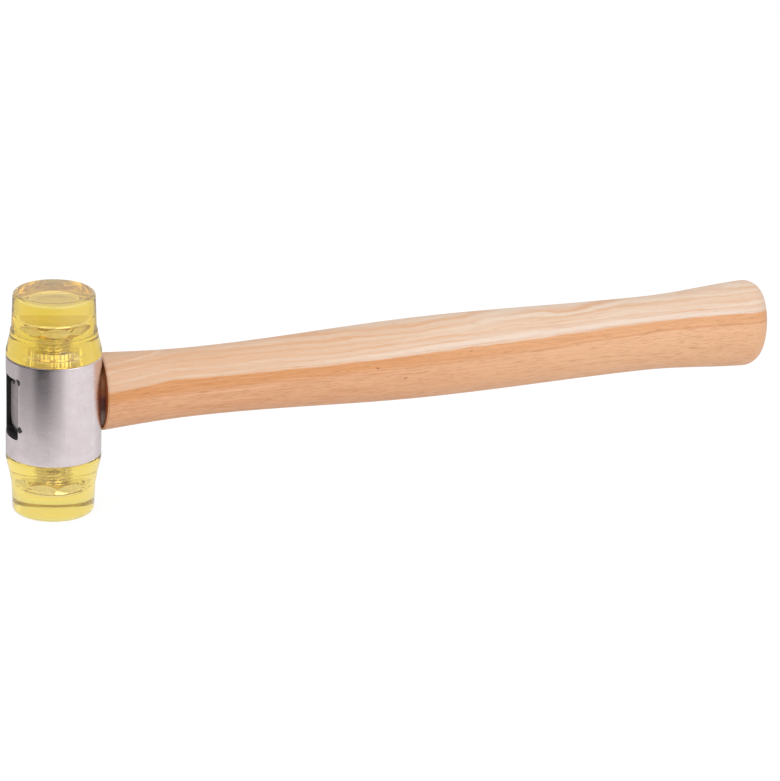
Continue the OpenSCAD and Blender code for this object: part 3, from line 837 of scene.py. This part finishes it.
# The floor's grey sides as metal shows them: direction in degrees, cosines of the outer and inner half
# width, and depth at distances in millimetres from the head
GREY_SIDES = [
    (190.0, -0.20, 0.45, [(95, 0.02), (105, 0.10), (115, 0.15), (133, 0.20), (155, 0.27), (190, 0.34)]),
    (218.5, 0.50, 0.66, [(95, 0.0), (105, 0.08), (115, 0.14), (133, 0.20), (155, 0.28), (190, 0.36)]),
    (227.0, 0.90, 0.99, [(112, 0.0), (122, 0.05), (133, 0.18), (150, 0.27), (190, 0.34)]),
    (110.0, 0.50, 0.87, [(80, 0.22), (190, 0.05)]),
    (60.0, 0.45, 0.85, [(80, 0.25), (190, 0.42)])]


def seen_directly(tree):
    """Outputs that are 1 for a ray of some kind: the camera's, off metal, off metal or through plastic."""
    path = add(tree, "LightPath")
    through = path["Is Transmission Ray"]
    mirrored = add(tree, "Math", {0: path["Is Glossy Ray"], 1: through}, operation="SUBTRACT",
                   use_clamp=True)[0]
    onward = add(tree, "Math", {0: mirrored, 1: through}, operation="MAXIMUM")[0]
    return path["Is Camera Ray"], mirrored, onward


def pale_floor():
    """A matt white floor with soft shadows, which glows white to the camera and has grey sides in metal."""
    material, tree, place, _ = new_material("studio_floor_painted")
    camera, mirrored, onward = seen_directly(tree)
    off = add(tree, "VectorMath", {0: place}, operation="LENGTH")["Value"]
    way = add(tree, "VectorMath", {0: place}, operation="NORMALIZE")[0]
    grey = 0.0
    for side, outer, inner, depths in GREY_SIDES:
        facing = (math.cos(math.radians(side)), math.sin(math.radians(side)), 0)
        ahead = add(tree, "VectorMath", {0: way, 1: facing}, operation="DOT_PRODUCT")["Value"]
        share = add(tree, "MapRange", {0: ahead, 1: outer, 2: inner})[0]
        depth = line_along(tree, off, depths)
        grey = add(tree, "Math", {0: share, 1: depth, 2: grey}, operation="MULTIPLY_ADD")[0]
    grey = add(tree, "Math", {0: grey, 1: mirrored}, operation="MULTIPLY")[0]
    glow = add(tree, "Math", {0: camera, 1: FLOOR_GLOW, 2: onward}, operation="MULTIPLY_ADD")[0]
    glow = add(tree, "Math", {0: glow, 1: grey}, operation="SUBTRACT")[0]
    white = add(tree, "MapRange", {0: camera, 3: FLOOR_WHITE, 4: FLOOR_SHADE})[0]
    lit = add(tree, "MapRange", {0: onward, 3: 1, 4: 0})[0]
    white = add(tree, "Math", {0: white, 1: lit}, operation="MULTIPLY")[0]
    matt = add(tree, "BsdfDiffuse", {"Color": white})[0]
    light = add(tree, "Emission", {"Color": (1, 1, 1, 1), "Strength": glow})[0]
    both = add(tree, "AddShader", {0: matt, 1: light})[0]
    add(tree, "OutputMaterial", {"Surface": both})
    return material


half = FLOOR_SIZE / 2
floor_mesh = bpy.data.meshes.new("studio_floor")
corners = [(-half, -half, FLOOR_Z), (half, -half, FLOOR_Z), (half, half, FLOOR_Z), (-half, half, FLOOR_Z)]
floor_mesh.from_pydata(corners, [], [(0, 1, 2, 3)])
floor_mesh.materials.append(pale_floor())
floor = bpy.data.objects.new("studio_floor", floor_mesh)
bpy.context.scene.collection.objects.link(floor)

world = bpy.data.worlds.new("studio_room")
bpy.context.scene.world = world
world.use_nodes = True
tree = world.node_tree
tree.nodes.clear()
camera, _, onward = seen_directly(tree)
direct = add(tree, "Math", {0: camera, 1: onward}, operation="MAXIMUM")[0]
level = add(tree, "MapRange", {0: direct, 3: ROOM_LEVEL, 4: 1.0})[0]
ray = add(tree, "TexCoord")["Generated"]
ahead = add(tree, "VectorMath", {0: ray, 1: DARK_WAY}, operation="DOT_PRODUCT")["Value"]
depth = add(tree, "MapRange", {0: ahead, 1: DARK_OUTER, 2: DARK_INNER, 4: DARK_DEPTH})[0]
dark = add(tree, "Math", {0: depth, 1: onward}, operation="MULTIPLY")[0]
level = add(tree, "Math", {0: level, 1: dark}, operation="SUBTRACT")[0]
room = add(tree, "Background", {"Color": (1, 1, 1, 1), "Strength": level})[0]
add(tree, "OutputWorld", {"Surface": room})

# Area lights: name, place and aim in metres, size in metres, power in watts
LIGHTS = [("key_light_front", (0.5, -1.3, 0.5), (0.16, 0.0, 0.04), 1.5, 11.2),
          ("fill_light_left", (-0.85, -0.55, 0.75), (0.1, 0.0, 0.04), 0.8, 2.5),
          ("top_light", (0.15, 0.15, 1.4), (0.15, 0.0, 0.04), 1.2, 2.5)]
for name, at, aim, size, power in LIGHTS:
    data = bpy.data.lights.new(name, "AREA")
    data.size, data.energy = size, power
    lamp = bpy.data.objects.new(name, data)
    lamp.location = at
    lamp.rotation_euler = (Vector(aim) - Vector(at)).to_track_quat("-Z", "Y").to_euler()
    bpy.context.scene.collection.objects.link(lamp)

# Camera: angles in degrees, distance and aim in millimetres, focal length in widths of the picture
CAMERA_AZIMUTH = 22.879
CAMERA_ELEVATION = 20.083
CAMERA_ROLL = 1.962
CAMERA_DISTANCE = 1600.0
CAMERA_AIM = (140.699, 0.0, 33.562)
CAMERA_FOCAL = 5.129
SENSOR = 36.0
az, el, roll = (math.radians(v) for v in (CAMERA_AZIMUTH, CAMERA_ELEVATION, CAMERA_ROLL))
back = Vector((-math.sin(az) * math.cos(el), -math.cos(az) * math.cos(el), math.sin(el)))
level_right = (-back).cross(Vector((0, 0, 1))).normalized()
level_up = level_right.cross(-back)
right = math.cos(roll) * level_right + math.sin(roll) * level_up
up = -math.sin(roll) * level_right + math.cos(roll) * level_up
lens = bpy.data.cameras.new("camera")
lens.sensor_fit = "HORIZONTAL"
lens.sensor_width = SENSOR
lens.lens = CAMERA_FOCAL * SENSOR
lens.clip_end = 100.0
viewer = bpy.data.objects.new("camera", lens)
turned = Matrix((right, up, back)).transposed().to_4x4()
viewer.matrix_world = Matrix.Translation((Vector(CAMERA_AIM) + CAMERA_DISTANCE * back) * MM) @ turned
bpy.context.scene.collection.objects.link(viewer)
bpy.context.scene.camera = viewer
bpy.context.scene.view_settings.view_transform = "Standard"
# Clear plastic sends light on through many inner reflections
bpy.context.scene.cycles.glossy_bounces = 12
bpy.context.scene.cycles.transmission_bounces = 16
bpy.context.scene.cycles.max_bounces = 20
